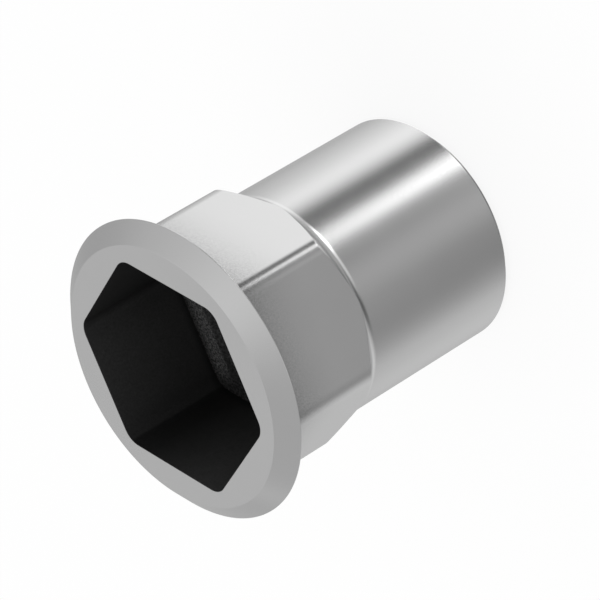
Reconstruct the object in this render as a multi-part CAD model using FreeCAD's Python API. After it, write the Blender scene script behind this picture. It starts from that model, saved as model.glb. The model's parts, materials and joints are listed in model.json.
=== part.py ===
"""Half-hex blind rivet nut with a small chamfered head, made from one piece of steel.

The nut stands on its round end. The origin is the centre of that end's face, +Z runs along
the axis to the head, and two flats of the hexagon face +Y and -Y. All sizes are millimetres.
"""
import FreeCAD, Part
import math
import os

# Whole nut
overall_length = 15.75

# Head: a thin flange with a wide chamfer that runs down to a narrow rim
head_diameter = 14.3
head_chamfer_width = 0.875
head_chamfer_height = 0.76
head_rim_height = 0.04

# Hexagonal part of the body, which keys the nut in a hexagonal hole
hex_across_flats = 10.96
hex_corner_radius = 0.87
hex_wall = 0.63

# Round shank, turned a little under the flats and chamfered at its end
shank_step = 0.05
shank_length = 8.65
end_edge_chamfer = 0.35

# Shoulder where the six corners are turned down to the shank
shoulder_angle_deg = 45.0
shoulder_fillet_radius = 0.8

# Hexagonal cavity in the head, open at the face and ending in a flat floor
cavity_corner_radius = 0.9
floor_to_shank = 1.55

# Metric coarse thread, which fills the body from the cavity's floor to the round end
thread_diameter = 8.0
thread_pitch = 1.25
entry_chamfer_width = 0.43
end_chamfer_width = 0.75

# The crest of an internal thread lies five eighths of the sharp V's height inside the root
SHARP_V_HEIGHT = math.sqrt(3.0) / 2.0
CREST_DEPTH = 2.0 * 5.0 / 8.0 * SHARP_V_HEIGHT

# A cutting tool starts this far outside the metal, so that no skin is left on a face
TOOL_OVERRUN = 1.0

SIDES = 6
AXIS = FreeCAD.Vector(0, 0, 1)
ORIGIN = FreeCAD.Vector(0, 0, 0)

# Sizes that follow from the ones above
head_thickness = head_chamfer_height + head_rim_height
head_seat_z = overall_length - head_thickness
head_radius = head_diameter / 2.0
face_radius = head_radius - head_chamfer_width
shank_radius = hex_across_flats / 2.0 - shank_step
cavity_across_flats = hex_across_flats - 2.0 * hex_wall
floor_z = shank_length + floor_to_shank
bore_radius = (thread_diameter - CREST_DEPTH * thread_pitch) / 2.0
hex_reach = hex_across_flats / 2.0 / math.cos(math.pi / SIDES)


def polar(radius, angle, height):
    """Point at a radius and an angle about the axis."""
    return FreeCAD.Vector(radius * math.cos(angle), radius * math.sin(angle), height)


def rounded_hexagon(across_flats, corner_radius, height):
    """Face of a hexagon with corners on the X axis, each corner an arc."""
    half_side = math.pi / SIDES
    arc_centre = (across_flats / 2.0 - corner_radius) / math.cos(half_side)
    edges = []
    for side in range(SIDES):
        corner = side * 2.0 * half_side
        next_corner = corner + 2.0 * half_side
        centre = polar(arc_centre, corner, height)
        next_centre = polar(arc_centre, next_corner, height)
        start = centre + polar(corner_radius, corner - half_side, 0)
        middle = centre + polar(corner_radius, corner, 0)
        end = centre + polar(corner_radius, corner + half_side, 0)
        next_start = next_centre + polar(corner_radius, next_corner - half_side, 0)
        edges.append(Part.Arc(start, middle, end).toShape())
        edges.append(Part.LineSegment(end, next_start).toShape())
    return Part.Face(Part.Wire(edges))


def hexagonal_prism(across_flats, corner_radius, bottom, top):
    """Upright prism with the rounded hexagon as its section."""
    section = rounded_hexagon(across_flats, corner_radius, bottom)
    return section.extrude(AXIS * (top - bottom))


def turned(edges):
    """Solid made by turning a closed outline, drawn in the XZ plane, about the axis."""
    return Part.Face(Part.Wire(edges)).revolve(ORIGIN, AXIS, 360)


def outline_point(radius, height):
    """Point of a turned outline."""
    return FreeCAD.Vector(radius, 0, height)


def polyline(points):
    """Straight edges from point to point."""
    return [Part.LineSegment(a, b).toShape() for a, b in zip(points, points[1:])]


def turned_body():
    """Chamfered shank, fillet and 45 degree shoulder, turned up to the head's seat."""
    angle = math.radians(shoulder_angle_deg)
    tangent = shoulder_fillet_radius * math.tan(angle / 2.0)
    corner_z = shank_length + tangent
    fillet_centre_x = shank_radius + shoulder_fillet_radius

    def fillet_point(turn):
        reach = shoulder_fillet_radius * math.cos(turn)
        rise = shoulder_fillet_radius * math.sin(turn)
        return outline_point(fillet_centre_x - reach, shank_length + rise)

    cone_top_z = corner_z + (hex_reach - shank_radius) / math.tan(angle)
    fillet_start = fillet_point(0)
    fillet_end = fillet_point(angle)
    edges = polyline([
        outline_point(0, 0),
        outline_point(shank_radius - end_edge_chamfer, 0),
        outline_point(shank_radius, end_edge_chamfer),
        fillet_start,
    ])
    edges.append(Part.Arc(fillet_start, fillet_point(angle / 2), fillet_end).toShape())
    edges += polyline([
        fillet_end,
        outline_point(hex_reach, cone_top_z),
        outline_point(hex_reach, head_seat_z),
        outline_point(0, head_seat_z),
        outline_point(0, 0),
    ])
    return turned(edges)


def head():
    """Flange with a flat seat underneath, a narrow rim and a wide chamfer to the face."""
    rim_top = head_seat_z + head_rim_height
    return turned(polyline([
        outline_point(0, head_seat_z),
        outline_point(head_radius, head_seat_z),
        outline_point(head_radius, rim_top),
        outline_point(face_radius, overall_length),
        outline_point(0, overall_length),
        outline_point(0, head_seat_z),
    ]))


def threaded_bore():
    """Bore at the thread's crest, with a chamfer at the cavity's floor and at the round end."""
    entry_radius = bore_radius + entry_chamfer_width
    end_radius = bore_radius + end_chamfer_width
    return turned(polyline([
        outline_point(0, -TOOL_OVERRUN),
        outline_point(end_radius, -TOOL_OVERRUN),
        outline_point(end_radius, 0),
        outline_point(bore_radius, end_chamfer_width),
        outline_point(bore_radius, floor_z - entry_chamfer_width),
        outline_point(entry_radius, floor_z),
        outline_point(entry_radius, floor_z + TOOL_OVERRUN),
        outline_point(0, floor_z + TOOL_OVERRUN),
        outline_point(0, -TOOL_OVERRUN),
    ]))


def hexagonal_cavity():
    """Hexagonal cavity from the head's face down to its flat floor."""
    mouth = overall_length + TOOL_OVERRUN
    return hexagonal_prism(cavity_across_flats, cavity_corner_radius, floor_z, mouth)


def rivet_nut():
    """Whole nut: turned bar with six flats, its head, the cavity and the bore."""
    flats = hexagonal_prism(hex_across_flats, hex_corner_radius, 0, head_seat_z)
    outside = turned_body().common(flats).fuse(head())
    nut = outside.cut(hexagonal_cavity()).cut(threaded_bore()).removeSplitter()
    return nut.Solids[0]


os.makedirs("parts", exist_ok=True)
nut = rivet_nut()
nut.exportStep("parts/rivet_nut.step")
print("rivet_nut volume", round(nut.Volume, 3), "mm3, valid", nut.isValid())
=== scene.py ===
"""Looks of the hex rivet nut: a fine mesh with its helical thread, plated steel, and a studio.

Sizes of the nut are millimetres, and its mesh is brought to metres when it is finished.
"""
import json
import logging
import math
from dataclasses import dataclass, field
from enum import Enum
from typing import Any, Iterable, Mapping, Union

import bmesh
import bpy
from mathutils import Matrix, Vector


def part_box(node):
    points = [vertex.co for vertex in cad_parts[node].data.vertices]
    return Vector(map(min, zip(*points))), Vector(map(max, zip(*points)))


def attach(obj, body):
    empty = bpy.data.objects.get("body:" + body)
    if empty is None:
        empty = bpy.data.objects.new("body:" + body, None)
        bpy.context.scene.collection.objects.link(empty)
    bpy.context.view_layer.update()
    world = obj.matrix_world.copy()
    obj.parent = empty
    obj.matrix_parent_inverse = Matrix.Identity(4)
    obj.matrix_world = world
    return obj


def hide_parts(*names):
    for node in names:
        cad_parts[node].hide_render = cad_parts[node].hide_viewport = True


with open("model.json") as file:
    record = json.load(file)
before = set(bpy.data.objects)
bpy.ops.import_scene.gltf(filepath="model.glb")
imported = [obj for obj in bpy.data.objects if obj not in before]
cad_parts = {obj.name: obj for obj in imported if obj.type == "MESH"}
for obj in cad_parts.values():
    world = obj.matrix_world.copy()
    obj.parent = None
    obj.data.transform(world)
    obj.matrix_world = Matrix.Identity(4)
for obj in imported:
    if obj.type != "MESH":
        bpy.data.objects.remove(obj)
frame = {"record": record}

log = logging.getLogger("rivet_nut")

MM = 0.001
TURN = 2.0 * math.pi
SIDES = 6
NODE = "rivet_nut"
BODY = "root"
INTERIOR = "interior"

# Margin in millimetres by which a surface is told from its neighbour, and a fine noise's octaves
EDGE_MARGIN = 0.01
FINE_DETAIL = 2.0

Number = Union[int, float]
Plain = Union[Number, tuple[Number, ...]]
OutlinePoint = tuple[float, float]


class Finish(Enum):
    """The two finishes of the nut, and the two of the studio round it."""

    OUTSIDE = "plated_steel"
    INSIDE = "oiled_dark_bore"
    TENT = "light_tent"
    FLOOR = "white_floor"


class Socket:
    """Output of a node. Arithmetic on it adds Math nodes to the same graph."""

    def __init__(self, graph: "Graph", output: bpy.types.NodeSocket) -> None:
        """Keeps the graph and the socket that is wrapped."""
        self.graph = graph
        self.output = output

    def __add__(self, other: "Operand") -> "Socket":
        """Sum of two values."""
        return self.graph.math("ADD", self, other)

    def __sub__(self, other: "Operand") -> "Socket":
        """Difference of two values."""
        return self.graph.math("SUBTRACT", self, other)

    def __mul__(self, other: "Operand") -> "Socket":
        """Product of two values."""
        return self.graph.math("MULTIPLY", self, other)

    def __truediv__(self, other: "Operand") -> "Socket":
        """Quotient of two values."""
        return self.graph.math("DIVIDE", self, other)

    def __rsub__(self, other: Number) -> "Socket":
        """Plain number less this value."""
        return self.graph.math("SUBTRACT", other, self)

    def __pow__(self, other: "Operand") -> "Socket":
        """Power of a value."""
        return self.graph.math("POWER", self, other)


Operand = Union[Socket, Plain]


class Graph:
    """Node tree under construction, for a material, the world or Geometry Nodes."""

    def __init__(self, tree: bpy.types.NodeTree) -> None:
        """Starts on an emptied tree."""
        self.tree = tree
        self.tree.nodes.clear()

    def node(
        self,
        kind: str,
        settings: Mapping[str, Any] | None = None,
        inputs: Mapping[Union[str, int], Operand] | None = None,
    ) -> bpy.types.Node:
        """Adds one node of any kind.

        Args:
            kind: Blender's type name of the node.
            settings: Properties of the node, set before its sockets.
            inputs: Values or links for its input sockets, by name or number.

        Returns:
            The new node.
        """
        made = self.tree.nodes.new(kind)
        for name, value in (settings or {}).items():
            setattr(made, name, value)
        for name, value in (inputs or {}).items():
            if isinstance(value, Socket):
                self.tree.links.new(value.output, made.inputs[name])
            else:
                made.inputs[name].default_value = value
        return made

    def value(
        self,
        kind: str,
        settings: Mapping[str, Any] | None = None,
        inputs: Mapping[Union[str, int], Operand] | None = None,
        output: Union[str, int] = 0,
    ) -> Socket:
        """Adds one node of any kind and gives one of its outputs.

        Args:
            kind: Blender's type name of the node.
            settings: Properties of the node, set before its sockets.
            inputs: Values or links for its input sockets, by name or number.
            output: Name or number of the output socket that is wanted.

        Returns:
            The wrapped output.
        """
        return Socket(self, self.node(kind, settings, inputs).outputs[output])

    def math(self, operation: str, *operands: Operand) -> Socket:
        """Adds a Math node with the given operation and operands."""
        return self.value("ShaderNodeMath", {"operation": operation}, dict(enumerate(operands)))

    def dot(self, vector: Socket, direction: Iterable[float]) -> Socket:
        """Adds the dot product of a vector with a fixed direction.

        Args:
            vector: The vector.
            direction: The fixed direction.

        Returns:
            The product.
        """
        fixed = tuple(direction)
        settings = {"operation": "DOT_PRODUCT"}
        return self.value("ShaderNodeVectorMath", settings, {0: vector, 1: fixed}, "Value")

    def smooth_range(self, value: Socket, start: Number, end: Number) -> Socket:
        """Adds a soft step.

        Args:
            value: The value that drives the step.
            start: Where the step is 0.
            end: Where the step is 1.

        Returns:
            The step, from 0 to 1.
        """
        settings = {"interpolation_type": "SMOOTHSTEP"}
        inputs = {"Value": value, "From Min": start, "From Max": end}
        return self.value("ShaderNodeMapRange", settings, inputs)

    def remap(self, value: Socket, low: Number, high: Number) -> Socket:
        """Spreads a value that runs from 0 to 1 over another range."""
        return self.value("ShaderNodeMapRange", {}, {"Value": value, "To Min": low, "To Max": high})

    def clamped(self, value: Socket) -> Socket:
        """Adds a clamp that keeps a value between 0 and 1."""
        return self.value("ShaderNodeClamp", {}, {"Value": value})

    def height(self, place: Socket) -> Socket:
        """Adds the height of a place, in millimetres."""
        return self.value("ShaderNodeSeparateXYZ", {}, {"Vector": place}, "Z") / MM

    def distance_from_axis(self, place: Socket) -> Socket:
        """Adds the distance of a place from the nut's axis.

        Args:
            place: Object coordinates.

        Returns:
            The distance, in millimetres.
        """
        settings = {"operation": "MULTIPLY"}
        level = self.value("ShaderNodeVectorMath", settings, {0: place, 1: (1.0, 1.0, 0.0)})
        settings = {"operation": "LENGTH"}
        return self.value("ShaderNodeVectorMath", settings, {0: level}, "Value") / MM

    def noise(self, place: Socket, size: Number, detail: Number = FINE_DETAIL) -> Socket:
        """Adds noise whose blotches are about the given size in millimetres."""
        inputs = {"Vector": place, "Scale": 1.0 / (size * MM), "Detail": detail}
        return self.value("ShaderNodeTexNoise", {}, inputs, "Fac")

    def bump(self, height: Socket) -> Socket:
        """Adds the normal of a relief whose height is in millimetres."""
        return self.value("ShaderNodeBump", {}, {"Strength": 1.0, "Distance": MM, "Height": height})

    def background_rays(self) -> Socket:
        """Adds the mask of the rays that see the white background.

        Returns:
            The mask, which is 1 for camera, glossy and transmission rays.
        """
        rays = self.node("ShaderNodeLightPath")
        names = ("Is Camera Ray", "Is Glossy Ray", "Is Transmission Ray")
        camera, glossy, transmission = (Socket(self, rays.outputs[name]) for name in names)
        return self.clamped(camera + glossy + transmission)

    def grey(self, level: Socket) -> Socket:
        """Makes a neutral colour of a level."""
        return self.value(
            "ShaderNodeCombineColor", {}, {"Red": level, "Green": level, "Blue": level}
        )


def new_material(finish: Finish) -> tuple[bpy.types.Material, Graph]:
    """Makes an empty node material.

    Args:
        finish: The finish that names the material.

    Returns:
        The material and the graph of its nodes.
    """
    material = bpy.data.materials.new(finish.value)
    material.use_nodes = True
    return material, Graph(material.node_tree)


def new_object(name: str, data: bpy.types.ID) -> bpy.types.Object:
    """Makes an object and puts it in the scene.

    Args:
        name: Its name.
        data: Its mesh, lamp or camera.

    Returns:
        The object.
    """
    made = bpy.data.objects.new(name, data)
    bpy.context.scene.collection.objects.link(made)
    return made


@dataclass(frozen=True)
class PlatedSteel:
    """Bright satin plating on turned and pressed steel, with fine grain and faint turning marks.

    Speckled painted shade darkens the hexagon's walls towards the head's seat, and painted shade
    darkens the chamfer on the round end too. Heights are above the round end's face, in
    millimetres.
    """

    seat: float
    hexagon_reach: float
    end_chamfer: float
    tone: float = 0.62
    tone_drift: float = 0.008
    roughness: float = 0.24
    roughness_drift: float = 0.03
    drift_size: float = 2.2
    drift_detail: float = 3.0
    grain_size: float = 0.1
    grain_height: float = 0.001
    grain_share: float = 0.4
    mark_spacing: float = 0.09
    mark_height: float = 0.0002
    # Painted shade, speckled, on the hexagon's walls towards the head's seat
    seat_shade_reach: float = 4.5
    seat_shade_depth: float = 0.55
    seat_shade_power: float = 2.5
    seat_shade_speck_size: float = 0.07
    seat_shade_speck_gain: float = 1.7
    seat_shade_speck_base: float = 0.15
    # Painted shade on the round end's chamfer
    end_chamfer_shade: float = 0.65

    def material(self) -> bpy.types.Material:
        """Builds the node material.

        Returns:
            The material, in Object coordinates.
        """
        material, graph = new_material(Finish.OUTSIDE)
        place = graph.value("ShaderNodeTexCoord", output="Object")
        drift = graph.noise(place, self.drift_size, self.drift_detail)
        grain = graph.noise(place, self.grain_size)
        tone = graph.remap(drift, self.tone - self.tone_drift, self.tone + self.tone_drift)
        low = self.roughness - self.roughness_drift
        high = self.roughness + self.roughness_drift
        uneven = drift * (1.0 - self.grain_share) + grain * self.grain_share
        # Painted shade takes from the tone: speckled towards the head's seat, and on the round
        # end's chamfer
        bright = 1.0 - self.painted_seat_shade(graph, place) - self.painted_chamfer_shade(graph, place)
        surface = {
            "Base Color": graph.grey(tone * bright),
            "Metallic": 1.0,
            "Roughness": graph.remap(uneven, low, high),
            "Normal": self.relief(graph, place, grain),
        }
        shader = graph.value("ShaderNodeBsdfPrincipled", {}, surface)
        graph.node("ShaderNodeOutputMaterial", {}, {"Surface": shader})
        return material

    def painted_seat_shade(self, graph: Graph, place: Socket) -> Socket:
        """Adds speckled painted shade, which deepens up to the head's seat.

        Args:
            graph: The material's graph.
            place: Object coordinates.

        Returns:
            The share of the tone that the painted shade takes.
        """
        height = graph.height(place)
        reach = graph.distance_from_axis(place)
        near = graph.clamped((height - (self.seat - self.seat_shade_reach)) / self.seat_shade_reach)
        wall = graph.math("LESS_THAN", height, self.seat - EDGE_MARGIN)
        wall = wall * graph.math("LESS_THAN", reach, self.hexagon_reach + EDGE_MARGIN)
        noise = graph.noise(place, self.seat_shade_speck_size)
        specks = noise * self.seat_shade_speck_gain + self.seat_shade_speck_base
        return near ** self.seat_shade_power * specks * wall * self.seat_shade_depth

    def painted_chamfer_shade(self, graph: Graph, place: Socket) -> Socket:
        """Adds painted shade on the round end's chamfer.

        Args:
            graph: The material's graph.
            place: Object coordinates.

        Returns:
            The share of the tone that the painted shade takes.
        """
        # Painted shade: the chamfer's tone is lowered
        height = graph.height(place)
        below = graph.math("LESS_THAN", height, self.end_chamfer - EDGE_MARGIN)
        return below * graph.math("GREATER_THAN", height, EDGE_MARGIN) * self.end_chamfer_shade

    def relief(self, graph: Graph, place: Socket, grain: Socket) -> Socket:
        """Adds the bump of the grain and of the turning marks, which run round the axis.

        Args:
            graph: The material's graph.
            place: Object coordinates.
            grain: The fine grain, from 0 to 1.

        Returns:
            The surface normal.
        """
        stretched = {"Vector": place, "Scale": (1.0, 1.0, 1.0 / (self.mark_spacing * MM))}
        rings = graph.value("ShaderNodeMapping", {}, stretched)
        noise = {"Vector": rings, "Scale": 1.0, "Detail": FINE_DETAIL}
        marks = graph.value("ShaderNodeTexNoise", {}, noise, "Fac")
        return graph.bump(grain * self.grain_height + marks * self.mark_height)


@dataclass(frozen=True)
class PaintedWallShade:
    """Painted light and shade on one wall of the cavity, which makes it lighter or darker than the
    rest.

    The azimuth is that of the wall in degrees, the share is that at its middle, and the drift is
    the share's change along a millimetre of it. The shade sets in close to the wall, between two
    distances from it.
    """

    azimuth: float
    share: float
    drift: float
    fade_start: float = 0.12
    fade_end: float = 0.02

    def across(self) -> tuple[float, float, float]:
        """Direction from the axis to the wall."""
        azimuth = math.radians(self.azimuth)
        return (math.cos(azimuth), math.sin(azimuth), 0.0)

    def along(self) -> tuple[float, float, float]:
        """Level direction along the wall."""
        azimuth = math.radians(self.azimuth)
        return (-math.sin(azimuth), math.cos(azimuth), 0.0)

    def change(self, graph: Graph, place: Socket, wall_distance: float) -> Socket:
        """Adds the change of tone, which is 0 away from the wall.

        Args:
            graph: The material's graph.
            place: Object coordinates.
            wall_distance: Distance of the wall from the axis.

        Returns:
            The change of the tone's share.
        """
        reach = graph.dot(place, self.across()) / MM
        start = wall_distance - self.fade_start
        on_wall = graph.smooth_range(reach, start, wall_distance - self.fade_end)
        lateral = graph.dot(place, self.along()) / MM
        return on_wall * (lateral * self.drift + (self.share - 1.0))


@dataclass(frozen=True)
class OiledBore:
    """Inside of the cavity and the thread: matt, dark and oily from tapping.

    The walls darken with painted shade at their foot and into the corners, and some walls are
    lighter or darker with painted light and shade. The floor has a paler speckled strip along one
    wall, a painted pool of light. Heights are above the round end's face, in millimetres.
    """

    floor: float
    entry_foot: float
    wall_distance: float
    wall_corner: float
    tone: float = 0.03
    # Painted shade: darker into the corners and at the walls' foot
    corner_shade_share: float = 0.15
    corner_shade_start: float = 0.1
    least_share: float = 0.4
    foot_shade_share: float = 0.55
    foot_shade_reach: float = 0.5
    # Painted light: the floor's pale strip, and painted shade on the floor towards the wall's foot
    floor_tone: float = 0.064
    unlit_floor_share: float = 0.28
    floor_shade_width: float = 0.5
    floor_shade_share: float = 0.8
    lit_strip_start: float = 3.68
    lit_strip_ramp: float = 0.2
    lit_strip_half: float = 1.7
    lit_strip_fade: float = 1.3
    speck_size: float = 0.1
    speck_detail: float = 1.0
    speck_share: float = 3.0
    least_speck: float = 0.1
    wall_speck_share: float = 0.13
    roughness: float = 0.55
    roughness_drift: float = 0.08
    sheen: float = 0.25
    grain_height: float = 0.003
    # Painted light and shade on the walls: the first is lighter and sets the floor's painted strip
    # of light, the others are darker
    strip: PaintedWallShade = PaintedWallShade(210.0, 1.22, -0.08)
    shades: tuple[PaintedWallShade, ...] = (PaintedWallShade(150.0, 0.58, 0.0), PaintedWallShade(270.0, 0.95, 0.33))

    def material(self) -> bpy.types.Material:
        """Builds the node material.

        Returns:
            The material, in Object coordinates.
        """
        material, graph = new_material(Finish.INSIDE)
        place = graph.value("ShaderNodeTexCoord", output="Object")
        specks = graph.noise(place, self.speck_size, self.speck_detail)
        spread = (specks - 0.5) * (2.0 * self.speck_share)
        on_floor = self.floor_mask(graph, place)
        speckled = graph.math("MAXIMUM", spread + 1.0, self.least_speck)
        floor = self.lit_floor_tone(graph, place) * speckled
        wall = self.shaded_wall_tone(graph, place) * (spread * self.wall_speck_share + 1.0)
        low = self.roughness - self.roughness_drift
        surface = {
            "Base Color": graph.grey(on_floor * floor + (1.0 - on_floor) * wall),
            "Metallic": 0.0,
            "Specular IOR Level": self.sheen,
            "Roughness": graph.remap(specks, low, self.roughness + self.roughness_drift),
            "Normal": graph.bump(specks * self.grain_height),
        }
        shader = graph.value("ShaderNodeBsdfPrincipled", {}, surface)
        graph.node("ShaderNodeOutputMaterial", {}, {"Surface": shader})
        return material

    def floor_mask(self, graph: Graph, place: Socket) -> Socket:
        """Adds the mask of the cavity's floor.

        Args:
            graph: The material's graph.
            place: Object coordinates.

        Returns:
            The mask, which is 1 on the floor and on the bore's entry chamfer.
        """
        height = graph.height(place)
        below = graph.math("LESS_THAN", height, self.floor + EDGE_MARGIN)
        return below * graph.math("GREATER_THAN", height, self.entry_foot)

    def lit_floor_tone(self, graph: Graph, place: Socket) -> Socket:
        """Adds the floor's tone, with a painted pool of light.

        Args:
            graph: The material's graph.
            place: Object coordinates.

        Returns:
            The tone, which is lighter on the strip of painted light and falls with painted shade
            towards the wall's foot.
        """
        across = graph.dot(place, self.strip.across()) / MM
        along = graph.math("ABSOLUTE", graph.dot(place, self.strip.along()) / MM)
        start = self.lit_strip_start
        # Painted light: a pale strip on the floor along one wall, fading at its ends
        begun = graph.smooth_range(across, start, start + self.lit_strip_ramp)
        # Painted shade on the floor towards the wall's foot
        foot = graph.smooth_range(across, self.wall_distance - self.floor_shade_width, self.wall_distance)
        ended = graph.smooth_range(along, self.lit_strip_half, self.lit_strip_half + self.lit_strip_fade)
        pale = begun * (1.0 - foot * self.floor_shade_share) * (1.0 - ended)
        return (pale * (1.0 - self.unlit_floor_share) + self.unlit_floor_share) * self.floor_tone

    def shaded_wall_tone(self, graph: Graph, place: Socket) -> Socket:
        """Adds the tone of the walls and the bore, with painted shade.

        Args:
            graph: The material's graph.
            place: Object coordinates.

        Returns:
            The tone, which falls with painted shade into the corners and at the walls' foot, and is
            lighter or darker on some walls with painted light and shade.
        """
        reach = graph.distance_from_axis(place)
        # Painted shade into the cavity's corners
        start = self.wall_distance + self.corner_shade_start
        corner = graph.smooth_range(reach, start, self.wall_corner)
        height = graph.height(place)
        # Painted shade at the walls' foot
        foot = graph.smooth_range(height, self.floor + self.foot_shade_reach, self.floor)
        share = (1.0 - corner * self.corner_shade_share) * (1.0 - foot * self.foot_shade_share)
        # Painted light and shade, wall by wall
        uneven: Operand = 1.0
        for shade in (self.strip, *self.shades):
            uneven = shade.change(graph, place, self.wall_distance) + uneven
        return share * graph.math("MAXIMUM", uneven, self.least_share) * self.tone


@dataclass
class NutSizes:
    """Sizes of the nut in millimetres, read from the frame where the frame states them."""

    hex_across_flats: float = 10.96
    hex_corner_radius: float = 0.87
    cavity_across_flats: float = 9.7
    cavity_corner_radius: float = 0.9
    head_chamfer_width: float = 0.875
    head_rim_height: float = 0.04
    rim_break: float = 0.04 / 3.0
    shoulder_angle: float = math.radians(45.0)
    shoulder_fillet_radius: float = 0.8
    shank_length: float = 8.65
    end_edge_chamfer: float = 0.35
    entry_chamfer_width: float = 0.43
    end_chamfer_width: float = 0.75
    thread_diameter: float = 8.0
    thread_pitch: float = 1.25
    edge_break: float = 0.025
    overall_length: float = field(init=False)
    head_radius: float = field(init=False)
    head_seat: float = field(init=False)
    shank_radius: float = field(init=False)
    bore_radius: float = field(init=False)
    cavity_floor: float = field(init=False)

    def __post_init__(self) -> None:
        """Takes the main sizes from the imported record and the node's box."""
        low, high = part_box(NODE)
        mounts = {mount["name"]: mount for mount in frame["record"]["mounts"]}
        thread = mounts["thread"]
        self.overall_length = (high.z - low.z) / MM
        self.head_radius = (high.x - low.x) / MM / 2.0
        self.head_seat = mounts["head_seat"]["pos_m"][2] / MM
        self.shank_radius = mounts["shank"]["dims"]["r_mm"]
        self.bore_radius = thread["dims"]["r_mm"]
        wall_top = thread["pos_m"][2] / MM + thread["dims"]["length_mm"] / 2.0
        self.cavity_floor = wall_top + self.entry_chamfer_width


@dataclass(frozen=True)
class Hexagon:
    """Rounded hexagon with corners on the X axis."""

    across_flats: float
    corner_radius: float
    guard_angle: float = math.radians(0.3)

    @property
    def arc_centre(self) -> float:
        """Distance of a corner arc's centre from the axis."""
        return (self.across_flats / 2.0 - self.corner_radius) / math.cos(math.pi / SIDES)

    def reach(self, angle: float) -> float:
        """Finds the outline's distance from the axis.

        Args:
            angle: Angle about the axis, in radians.

        Returns:
            The distance, in millimetres.
        """
        sector = TURN / SIDES
        from_corner = (angle + sector / 2.0) % sector - sector / 2.0
        if abs(from_corner) < self.tangent_angle():
            across = self.arc_centre * math.sin(from_corner)
            chord = math.sqrt(self.corner_radius ** 2 - across ** 2)
            return self.arc_centre * math.cos(from_corner) + chord
        from_flat = abs(from_corner) - sector / 2.0
        return self.across_flats / 2.0 / math.cos(from_flat)

    def tangent_angle(self) -> float:
        """Angle from a corner to where its arc meets the flat."""
        return self.turned_angle(math.pi / SIDES)

    def turned_angle(self, normal: float) -> float:
        """Finds where a corner's arc has a given normal.

        Args:
            normal: Angle by which the normal is turned from the corner's direction, in radians.

        Returns:
            The point's angle about the axis from the corner, in radians.
        """
        across = self.corner_radius * math.sin(normal)
        along = self.arc_centre + self.corner_radius * math.cos(normal)
        return math.atan2(across, along)

    def sample_angles(self, steps: int) -> list[float]:
        """Angles that follow each corner's arc in even steps, and one on the flat at either side.

        Args:
            steps: Number of steps over one corner's arc.

        Returns:
            The angles about the axis, in radians.
        """
        sector = TURN / SIDES
        arc = [self.turned_angle(sector * (step / steps - 0.5)) for step in range(steps + 1)]
        guards = [arc[0] - self.guard_angle, arc[-1] + self.guard_angle]
        return [side * sector + angle for side in range(SIDES) for angle in arc + guards]


def rounded_corner(
    before: OutlinePoint, corner: OutlinePoint, after: OutlinePoint, radius: float, steps: int
) -> list[OutlinePoint]:
    """Rounds one corner of an outline.

    Args:
        before: Point before the corner.
        corner: The sharp corner.
        after: Point after the corner.
        radius: Radius of the round.
        steps: Number of straight steps along the arc.

    Returns:
        The points of the arc, from the side of before to the side of after.
    """
    point = Vector(corner)
    back = (Vector(before) - point).normalized()
    ahead = (Vector(after) - point).normalized()
    half = back.angle(ahead) / 2.0
    bisector = (back + ahead).normalized()
    centre = point + bisector * (radius / math.sin(half))
    start = point + back * (radius / math.tan(half)) - centre
    end = point + ahead * (radius / math.tan(half)) - centre
    sweep = start.angle_signed(end)
    return [
        tuple(centre + Matrix.Rotation(-sweep * step / steps, 2) @ start)
        for step in range(steps + 1)
    ]


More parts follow.
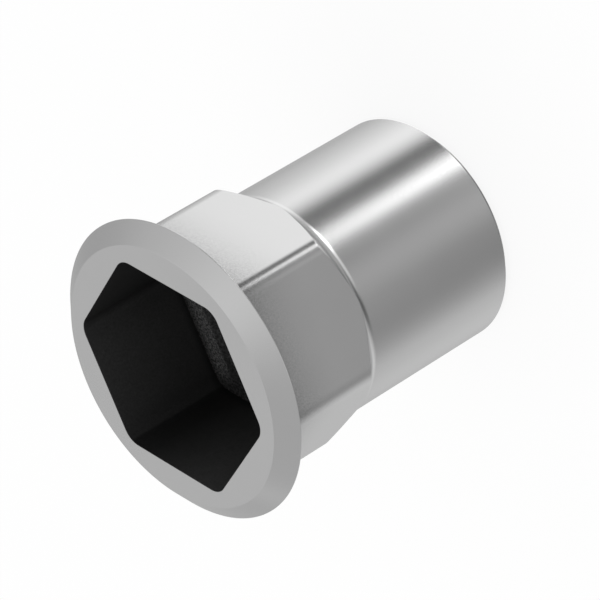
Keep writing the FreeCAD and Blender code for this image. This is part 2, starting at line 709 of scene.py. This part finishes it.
@dataclass
class NutBody:
    """Body of the nut: one outline for each angle about the axis, joined ring to ring.

    The angles come in even steps and closer round the corners, where an even one is left out
    within the even gap of a close one.
    """

    sizes: NutSizes
    round_step: float = math.radians(1.25)
    even_gap: float = math.radians(1.25) / 3.0
    corner_steps: int = 24
    fillet_steps: int = 14
    break_steps: int = 4
    least_step: float = math.radians(0.04)
    guard: float = 0.03
    long_segment: float = 0.2

    def __post_init__(self) -> None:
        """Sets the two hexagons."""
        sizes = self.sizes
        self.outer = Hexagon(sizes.hex_across_flats, sizes.hex_corner_radius)
        self.cavity = Hexagon(sizes.cavity_across_flats, sizes.cavity_corner_radius)

    def angles(self) -> list[float]:
        """Works out the angles of the outlines, close together round both hexagons' corners.

        Returns:
            The angles about the axis, in radians and in rising order.
        """
        count = round(TURN / self.round_step)
        regular = [TURN * step / count for step in range(count)]
        corners = self.outer.sample_angles(self.corner_steps)
        corners += self.cavity.sample_angles(self.corner_steps)
        kept: list[float] = []
        fine = sorted(angle % TURN for angle in corners)
        for angle in fine:
            if not kept or angle - kept[-1] > self.least_step:
                kept.append(angle)
        spread = [angle for angle in regular if self.gap(angle, kept) > self.even_gap]
        return sorted(kept + spread)

    def gap(self, angle: float, others: list[float]) -> float:
        """Distance of an angle to the nearest of others."""
        return min(abs((angle - other + math.pi) % TURN - math.pi) for other in others)

    def shoulder(self, reach: float) -> list[OutlinePoint]:
        """Finds the fillet and cone at one angle, up to the hexagon's outline.

        Args:
            reach: Distance of the hexagon's outline from the axis at this angle.

        Returns:
            Points from the shank's top to the sharp edge at the hexagon.
        """
        sizes = self.sizes
        radius = sizes.shoulder_fillet_radius
        fillet_reach = sizes.shank_radius + radius * (1.0 - math.cos(sizes.shoulder_angle))
        if reach < fillet_reach:
            turn = math.acos(1.0 - (reach - sizes.shank_radius) / radius)
            slope = 0.0
        else:
            turn = sizes.shoulder_angle
            slope = (reach - fillet_reach) / math.sin(sizes.shoulder_angle)
        length = radius * turn + slope
        points = []
        for step in range(self.fillet_steps + 1):
            along = length * step / self.fillet_steps
            angle = min(along / radius, turn)
            past = max(along - radius * turn, 0.0)
            across = radius * (1.0 - math.cos(angle)) + past * math.sin(sizes.shoulder_angle)
            up = radius * math.sin(angle) + past * math.cos(sizes.shoulder_angle)
            points.append((sizes.shank_radius + across, sizes.shank_length + up))
        return points

    def outline(self, angle: float) -> tuple[list[OutlinePoint], list[bool]]:
        """Works out the closed outline at one angle about the axis.

        Args:
            angle: Angle about the axis, in radians.

        Returns:
            The outline's points, and for each whether the face that follows is interior.
        """
        sizes = self.sizes
        flat = self.outer.reach(angle)
        mouth = self.cavity.reach(angle)
        floor_hole = sizes.bore_radius + sizes.entry_chamfer_width
        end_hole = sizes.bore_radius + sizes.end_chamfer_width
        rim_top = sizes.head_seat + sizes.head_rim_height
        face = sizes.head_radius - sizes.head_chamfer_width
        shoulder = self.shoulder(flat)
        fine = sizes.edge_break
        thin = sizes.rim_break
        steps = self.break_steps
        corners = [
            ((end_hole, 0.0), fine, steps, False),
            ((sizes.shank_radius - sizes.end_edge_chamfer, 0.0), fine, steps, False),
            ((sizes.shank_radius, sizes.end_edge_chamfer), fine, steps, False),
            *((point, 0.0, 0, False) for point in shoulder[:-1]),
            (shoulder[-1], fine, steps, False),
            ((flat, sizes.head_seat), 0.0, 0, False),
            ((sizes.head_radius, sizes.head_seat), thin, steps, False),
            ((sizes.head_radius, rim_top), thin, steps, False),
            ((face, sizes.overall_length), fine, steps, False),
            ((mouth, sizes.overall_length), fine, steps, True),
            ((mouth, sizes.cavity_floor), 0.0, 0, True),
            ((floor_hole, sizes.cavity_floor), fine, steps, True),
            ((sizes.bore_radius, sizes.cavity_floor - sizes.entry_chamfer_width), 0.0, 0, True),
            ((sizes.bore_radius, sizes.end_chamfer_width), 0.0, 0, True),
        ]
        points: list[OutlinePoint] = []
        inside: list[bool] = []
        for index, (corner, radius, arc_steps, interior) in enumerate(corners):
            before = corners[index - 1][0]
            after = corners[(index + 1) % len(corners)][0]
            arc = rounded_corner(before, corner, after, radius, arc_steps) if radius else [corner]
            points += arc
            inside += [interior] * len(arc)
        return self.guarded(points, inside)

    def guarded(
        self, points: list[OutlinePoint], inside: list[bool]
    ) -> tuple[list[OutlinePoint], list[bool]]:
        """Adds a point close to both ends of each long segment, which keeps its normals true.

        Args:
            points: Points of the closed outline.
            inside: For each point, whether the face that follows is interior.

        Returns:
            The points and the marks with the added ones.
        """
        kept: list[OutlinePoint] = []
        marks: list[bool] = []
        for index, (point, interior) in enumerate(zip(points, inside)):
            start = Vector(point)
            along = Vector(points[(index + 1) % len(points)]) - start
            kept.append(point)
            if along.length > self.long_segment:
                step = along.normalized() * self.guard
                kept += [tuple(start + step), tuple(start + along - step)]
            marks += [interior] * (len(kept) - len(marks))
        return kept, marks

    def mesh(self) -> bpy.types.Mesh:
        """Builds the closed body without its thread.

        Returns:
            The mesh in millimetres, with the face attribute that marks the interior.
        """
        angles = self.angles()
        rings = [self.outline(angle)[0] for angle in angles]
        inside = self.outline(0.0)[1]
        count = len(inside)
        vertices = [
            (reach * math.cos(angle), reach * math.sin(angle), height)
            for angle, ring in zip(angles, rings)
            for reach, height in ring
        ]
        faces = []
        marks = []
        for ring in range(len(angles)):
            start = ring * count
            following = (ring + 1) % len(angles) * count
            for point in range(count):
                after = (point + 1) % count
                faces.append((start + point, following + point, following + after, start + after))
                marks.append(inside[point])
        mesh = bpy.data.meshes.new("nut_body")
        mesh.from_pydata(vertices, [], faces)
        mesh.attributes.new(INTERIOR, "BOOLEAN", "FACE").data.foreach_set("value", marks)
        return mesh


@dataclass
class HelicalThread:
    """Right-hand internal metric thread, cut by sweeping the groove's section along a helix.

    The section reaches inwards past the bore by the overlap, and the helix runs on past both ends.
    The root is an eighth of the pitch wide.
    """

    sizes: NutSizes
    root_share: float = 1.0 / 8.0
    overlap: float = 0.135
    turns_past_end: float = 1.0
    turns_past_floor: float = 1.0
    break_through: float = math.radians(30.0)
    points_per_turn: int = 120

    def tree(self, outside: bpy.types.Material, inside: bpy.types.Material) -> bpy.types.NodeTree:
        """Builds the Geometry Nodes tree that cuts the thread and sets the materials.

        Args:
            outside: Material of the outer surfaces.
            inside: Material of the cavity, the bore and the thread.

        Returns:
            The tree, with its sizes as named inputs.
        """
        tree = bpy.data.node_groups.new("helical_thread", "GeometryNodeTree")
        graph = Graph(tree)
        interface = tree.interface
        interface.new_socket("Geometry", in_out="INPUT", socket_type="NodeSocketGeometry")
        for name in self.values():
            kind = "NodeSocketInt" if name == "Points per Turn" else "NodeSocketFloat"
            interface.new_socket(name, in_out="INPUT", socket_type=kind)
        interface.new_socket("Geometry", in_out="OUTPUT", socket_type="NodeSocketGeometry")
        given = graph.node("NodeGroupInput")
        size = {name: Socket(graph, given.outputs[name]) for name in self.values()}
        helix = graph.value(
            "GeometryNodeCurveSpiral",
            {},
            {
                "Resolution": size["Points per Turn"],
                "Rotations": size["Turns"],
                "Start Radius": size["Middle Radius"],
                "End Radius": size["Middle Radius"],
                "Height": size["Turns"] * size["Pitch"],
                "Reverse": True,
            },
        )
        upright = graph.value("GeometryNodeSetCurveNormal", {"mode": "Z_UP"}, {"Curve": helix})
        groove = graph.value(
            "GeometryNodeCurvePrimitiveQuadrilateral",
            {"mode": "TRAPEZOID"},
            {
                "Height": size["Groove Depth"],
                "Bottom Width": size["Inner Width"],
                "Top Width": size["Root Width"],
                "Offset": 0.0,
            },
        )
        # A swept section's X axis points away from the helix's axis, so its height is turned there
        outward = graph.value(
            "GeometryNodeTransform", {}, {"Geometry": groove, "Rotation": (0.0, 0.0, -TURN / 4.0)}
        )
        cutter = graph.value(
            "GeometryNodeCurveToMesh",
            {},
            {"Curve": upright, "Profile Curve": outward, "Fill Caps": True},
        )
        rise = graph.value("ShaderNodeCombineXYZ", {}, {"Z": size["Start Height"]})
        turn = graph.value("ShaderNodeCombineXYZ", {}, {"Z": size["Start Angle"]})
        placed = graph.value(
            "GeometryNodeTransform", {}, {"Geometry": cutter, "Translation": rise, "Rotation": turn}
        )
        marked = graph.value(
            "GeometryNodeStoreNamedAttribute",
            {"data_type": "BOOLEAN", "domain": "FACE"},
            {"Geometry": placed, "Name": INTERIOR, "Value": True},
        )
        body = Socket(graph, given.outputs["Geometry"])
        cut = graph.value(
            "GeometryNodeMeshBoolean",
            {"operation": "DIFFERENCE", "solver": "EXACT"},
            {"Mesh 1": body, "Mesh 2": marked},
        )
        whole = graph.value("GeometryNodeRealizeInstances", {}, {"Geometry": cut})
        plated = graph.value(
            "GeometryNodeSetMaterial", {}, {"Geometry": whole, "Material": outside}
        )
        interior = graph.value(
            "GeometryNodeInputNamedAttribute", {"data_type": "BOOLEAN"}, {"Name": INTERIOR}
        )
        done = graph.value(
            "GeometryNodeSetMaterial",
            {},
            {"Geometry": plated, "Selection": interior, "Material": inside},
        )
        graph.node("NodeGroupOutput", {}, {"Geometry": done})
        return tree

    def values(self) -> dict[str, Number]:
        """Works out the tree's inputs from the sizes.

        Returns:
            The value of each named input.
        """
        sizes = self.sizes
        pitch = sizes.thread_pitch
        root = sizes.thread_diameter / 2.0
        inner = sizes.bore_radius - self.overlap
        root_width = pitch * self.root_share
        flank = 2.0 * math.tan(math.pi / SIDES)
        start = -self.turns_past_end * pitch
        turns = (sizes.cavity_floor - start) / pitch + self.turns_past_floor
        start_angle = self.break_through - (sizes.cavity_floor - start) / pitch * TURN
        return {
            "Points per Turn": self.points_per_turn,
            "Pitch": pitch,
            "Turns": turns,
            "Middle Radius": (root + inner) / 2.0,
            "Groove Depth": root - inner,
            "Inner Width": root_width + flank * (root - inner),
            "Root Width": root_width,
            "Start Height": start,
            "Start Angle": start_angle % TURN,
        }

    def cut(self, mesh: bpy.types.Mesh, tree: bpy.types.NodeTree) -> bpy.types.Mesh:
        """Cuts the thread into a body.

        Args:
            mesh: The body in millimetres.
            tree: The tree that cuts it.

        Returns:
            A new plain mesh, in millimetres.
        """
        carrier = new_object("thread_cutting", mesh)
        modifier = carrier.modifiers.new("thread", "NODES")
        modifier.node_group = tree
        values = self.values()
        for item in tree.interface.items_tree:
            if item.item_type == "SOCKET" and item.in_out == "INPUT" and item.name in values:
                modifier[item.identifier] = values[item.name]
        depsgraph = bpy.context.evaluated_depsgraph_get()
        result = bpy.data.meshes.new_from_object(carrier.evaluated_get(depsgraph))
        bpy.data.objects.remove(carrier)
        return result


@dataclass
class RivetNut:
    """The whole nut, which stands for the CAD solid."""

    sizes: NutSizes = field(default_factory=NutSizes)
    merge_distance: float = 0.0004
    sharp_angle: float = math.radians(8.0)

    def build(self) -> bpy.types.Object:
        """Builds and dresses the nut.

        Returns:
            The finished piece.
        """
        sizes = self.sizes
        body = NutBody(sizes)
        plated = PlatedSteel(sizes.head_seat, body.outer.reach(0.0), sizes.end_edge_chamfer)
        oiled = OiledBore(
            floor=sizes.cavity_floor,
            entry_foot=sizes.cavity_floor - sizes.entry_chamfer_width,
            wall_distance=sizes.cavity_across_flats / 2.0,
            wall_corner=body.cavity.reach(0.0),
        )
        thread = HelicalThread(sizes)
        mesh = thread.cut(body.mesh(), thread.tree(plated.material(), oiled.material()))
        self.tidy(mesh)
        mesh.transform(Matrix.Scale(MM, 4))
        mesh.name = "hex_rivet_nut"
        piece = new_object("hex_rivet_nut", mesh)
        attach(piece, BODY)
        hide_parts(NODE)
        return piece

    def tidy(self, mesh: bpy.types.Mesh) -> None:
        """Merges doubles, turns the faces outwards and marks the sharp edges.

        Args:
            mesh: The cut mesh in millimetres, which is changed in place.
        """
        work = bmesh.new()
        work.from_mesh(mesh)
        bmesh.ops.remove_doubles(work, verts=work.verts, dist=self.merge_distance)
        bmesh.ops.recalc_face_normals(work, faces=work.faces)
        open_edges = sum(1 for edge in work.edges if not edge.is_manifold)
        log.info("nut mesh: %d faces, %d open edges", len(work.faces), open_edges)
        work.to_mesh(mesh)
        work.free()
        mesh.shade_smooth()
        mesh.set_sharp_from_angle(angle=self.sharp_angle)


@dataclass(frozen=True)
class Card:
    """Soft-edged card far away in the studio: a bright one is a softbox, a dark one a flag.

    Directions are those in which the nut sees it, and angles are degrees.
    """

    name: str
    azimuth: float
    elevation: float
    half_width: float
    half_height: float
    softness: float
    level: float

    def mask(self, graph: Graph, direction: Socket) -> Socket:
        """Adds the nodes that are 1 on the card and fall to 0 round it.

        Args:
            graph: The tent's graph.
            direction: Direction from the nut to the tent.

        Returns:
            The mask.
        """
        azimuth = math.radians(self.azimuth)
        elevation = math.radians(self.elevation)
        flat = Vector((math.cos(azimuth), math.sin(azimuth), 0.0))
        middle = flat * math.cos(elevation) + Vector((0.0, 0.0, math.sin(elevation)))
        side = Vector((-math.sin(azimuth), math.cos(azimuth), 0.0))
        top = middle.cross(side)
        across = self.soft_edge(graph, graph.dot(direction, side), self.half_width)
        along = self.soft_edge(graph, graph.dot(direction, top), self.half_height)
        front = graph.math("GREATER_THAN", graph.dot(direction, middle), 0.0)
        return across * along * front

    def soft_edge(self, graph: Graph, offset: Socket, half: float) -> Socket:
        """Adds the card's soft edge in one direction.

        Args:
            graph: The tent's graph.
            offset: Sine of the angle from the card's middle.
            half: Half of the card's angle, in degrees.

        Returns:
            The step, which is 1 well within the half angle and 0 past its softness.
        """
        inner = math.sin(math.radians(max(half - self.softness / 2.0, 0.0)))
        outer = math.sin(math.radians(min(half + self.softness / 2.0, 90.0)))
        return graph.smooth_range(graph.math("ABSOLUTE", offset), outer, inner)


@dataclass
class Studio:
    """White floor and background, and a grey light tent with soft cards round the nut.

    Sizes of the studio are metres.
    """

    room: float = 0.551
    backdrop: float = 1.0
    tent_radius: float = 6.0
    tent_subdivisions: int = 4
    floor_half: float = 3.0
    floor_tone: float = 0.9
    floor_glow: float = 0.9
    lamp_strength: float = 1.5
    lamp_angle: float = math.radians(60.0)
    lamp_tilt: float = math.radians(20.0)
    cards: tuple[Card, ...] = (
        Card("front box", -52.0, -13.0, 9.0, 16.0, 12.0, 1.1),
        Card("front flag", -80.0, -12.0, 7.0, 8.0, 10.0, 0.35),
        Card("side box", 12.0, -1.0, 13.0, 21.0, 12.0, 1.15),
        Card("side flag", 48.0, -1.0, 11.0, 21.0, 14.0, 0.2),
        Card("rear box", 122.0, -1.0, 9.0, 21.0, 12.0, 1.1),
        Card("overhead glow", 121.6, 68.2, 47.2, 24.6, 53.2, 0.86),
        Card("left wall", -120.5, 41.4, 33.7, 26.7, 15.2, 0.7),
        Card("low grey", 6.0, -57.9, 60.5, 11.9, 49.7, 0.0),
        Card("low fill", -70.7, -48.7, 27.0, 15.1, 42.8, 0.91),
        Card("low middle", 60.2, -51.0, 24.9, 6.9, 32.4, 1.02),
        Card("softbox", 168.9, -45.8, 34.5, 10.6, 16.0, 1.47),
        Card("far grey", 202.4, -11.6, 24.0, 42.1, 47.9, 0.49),
        Card("under flag", -131.0, -57.8, 25.1, 4.0, 20.0, 0.18),
        Card("strip", 88.4, -47.0, 9.9, 9.0, 5.9, 4.0),
        Card("flag", 104.2, -37.2, 10.3, 6.0, 8.0, 0.0),
    )

    def build(self) -> None:
        """Sets the world, the tent, the lamp and the floor."""
        self.world()
        self.tent()
        self.lamp()
        self.floor()

    def lamp(self) -> None:
        """Builds the wide lamp overhead, which whitens the floor and gives the soft shadow."""
        data = bpy.data.lights.new("overhead_lamp", "SUN")
        data.energy = self.lamp_strength
        data.angle = self.lamp_angle
        lamp = new_object("overhead_lamp", data)
        lamp.visible_glossy = False
        lamp.rotation_euler = (self.lamp_tilt, 0.0, 0.0)

    def world(self) -> None:
        """Builds the world: white for the background's rays, and the room's grey besides."""
        world = bpy.data.worlds.new("white_background")
        world.use_nodes = True
        bpy.context.scene.world = world
        graph = Graph(world.node_tree)
        seen = graph.background_rays()
        strength = seen * self.backdrop + (1.0 - seen) * self.room
        white = (1.0, 1.0, 1.0, 1.0)
        shader = graph.value("ShaderNodeBackground", {}, {"Color": white, "Strength": strength})
        graph.node("ShaderNodeOutputWorld", {}, {"Surface": shader})

    def tent(self) -> bpy.types.Object:
        """Builds the light tent, which the nut is lit by and reflects, out of the camera's sight.

        Returns:
            The tent.
        """
        mesh = bpy.data.meshes.new("light_tent")
        work = bmesh.new()
        bmesh.ops.create_icosphere(
            work, subdivisions=self.tent_subdivisions, radius=self.tent_radius
        )
        work.to_mesh(mesh)
        work.free()
        tent = new_object("light_tent", mesh)
        mesh.materials.append(self.tent_material())
        tent.visible_camera = False
        tent.visible_shadow = False
        return tent

    def tent_material(self) -> bpy.types.Material:
        """Builds the tent's material: a plain grey glow with the cards on it.

        Returns:
            The material, in Object coordinates.
        """
        material, graph = new_material(Finish.TENT)
        place = graph.value("ShaderNodeTexCoord", output="Object")
        direction = graph.value("ShaderNodeVectorMath", {"operation": "NORMALIZE"}, {0: place})
        level: Operand = self.room
        for card in self.cards:
            mask = card.mask(graph, direction)
            level = mask * card.level + (1.0 - mask) * level
        glow = graph.value("ShaderNodeEmission", {}, {"Color": graph.grey(level), "Strength": 1.0})
        graph.node("ShaderNodeOutputMaterial", {}, {"Surface": glow})
        return material

    def floor(self) -> bpy.types.Object:
        """Builds the white floor, which keeps the nut's shadow.

        Returns:
            The floor.
        """
        half = self.floor_half
        mesh = bpy.data.meshes.new("floor")
        corners = [(-half, -half, 0.0), (half, -half, 0.0), (half, half, 0.0), (-half, half, 0.0)]
        mesh.from_pydata(corners, [], [(0, 1, 2, 3)])
        floor = new_object("floor", mesh)
        mesh.materials.append(self.floor_material())
        floor.visible_glossy = False
        floor.visible_shadow = False
        return floor

    def floor_material(self) -> bpy.types.Material:
        """Builds the floor's material: matt white, lifted to white for the background's rays.

        Returns:
            The material.
        """
        material, graph = new_material(Finish.FLOOR)
        tone = (self.floor_tone, self.floor_tone, self.floor_tone, 1.0)
        matt = graph.value("ShaderNodeBsdfDiffuse", {}, {"Color": tone})
        glow = graph.value("ShaderNodeEmission", {}, {"Strength": self.backdrop})
        share = graph.background_rays() * self.floor_glow
        mixed = graph.value("ShaderNodeMixShader", {}, {0: share, 1: matt, 2: glow})
        graph.node("ShaderNodeOutputMaterial", {}, {"Surface": mixed})
        return material


@dataclass
class PhotoCamera:
    """Camera at the photograph's viewing angle. Angles are degrees and places millimetres."""

    azimuth: float = 135.0315
    elevation: float = 34.8114
    roll: float = -121.0318
    distance: float = 187.905
    aim: tuple[float, float, float] = (0.0561, 0.0539, 7.8881)
    lens: float = 256.066
    sensor: float = 36.0
    clip_near: float = 18.0
    clip_far: float = 100000.0

    def place(self) -> bpy.types.Object:
        """Creates the camera and makes it the scene's.

        Returns:
            The camera.
        """
        azimuth = math.radians(self.azimuth)
        elevation = math.radians(self.elevation)
        roll = math.radians(self.roll)
        flat = Vector((math.sin(azimuth), -math.cos(azimuth), 0.0))
        back = flat * math.cos(elevation) + Vector((0.0, 0.0, math.sin(elevation)))
        level_right = Vector((math.cos(azimuth), math.sin(azimuth), 0.0))
        level_up = back.cross(level_right)
        right = level_right * math.cos(roll) + level_up * math.sin(roll)
        up = back.cross(right)
        place = Matrix((right, up, back)).transposed().to_4x4()
        place.translation = (Vector(self.aim) + back * self.distance) * MM
        data = bpy.data.cameras.new("photo_camera")
        data.lens = self.lens
        data.sensor_width = self.sensor
        data.clip_start = self.clip_near * MM
        data.clip_end = self.clip_far * MM
        camera = new_object("photo_camera", data)
        camera.matrix_world = place
        bpy.context.scene.camera = camera
        return camera


def main() -> None:
    """Builds the nut, the studio and the camera."""
    logging.basicConfig(level=logging.INFO, format="%(name)s: %(message)s")
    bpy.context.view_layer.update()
    bpy.context.scene.view_settings.view_transform = "Standard"
    piece = RivetNut().build()
    log.info("%s: %d vertices", piece.name, len(piece.data.vertices))
    Studio().build()
    log.info("studio: world, tent, lamp and floor")
    camera = PhotoCamera().place()
    log.info("camera at %s", [round(value, 4) for value in camera.matrix_world.translation])


if __name__ == "__main__":
    main()
